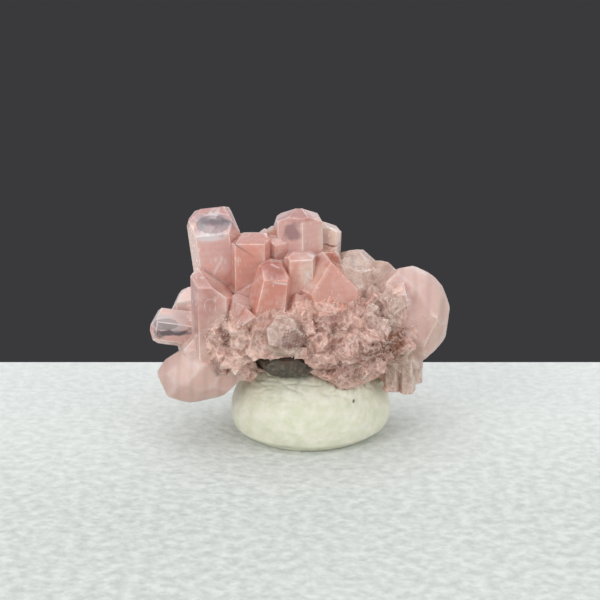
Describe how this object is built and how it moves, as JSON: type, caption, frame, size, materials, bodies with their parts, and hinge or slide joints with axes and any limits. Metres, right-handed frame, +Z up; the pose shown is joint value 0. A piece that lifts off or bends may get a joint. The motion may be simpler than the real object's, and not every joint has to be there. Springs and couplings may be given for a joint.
{
  "type": "calcite crystal cluster",
  "caption": "Cluster of translucent pink calcite crystals rising from a sugary druse with a scrap of dark rock, standing on a pressed pad of mounting putty.",
  "frame": {"origin": "middle of the whole part's bounding box in X and Y, at the level of the putty's resting face", "axes": "+Z up; +X to the right as the display side is looked at, along the cluster's long side; -Y towards the viewer, the display side"},
  "size_m": [0.0244, 0.0138, 0.0192],
  "materials": {
    "pink_calcite": "natural crystal faces, glassy and translucent, sugary over the druse",
    "dark_rock": "rough, broken",
    "white_putty": "matt, pressed by hand"
  },
  "bodies": {
    "root": {"calcite_cluster": "pink_calcite", "matrix_rock": "dark_rock", "putty_pad": "white_putty"}
  },
  "joints": []
}
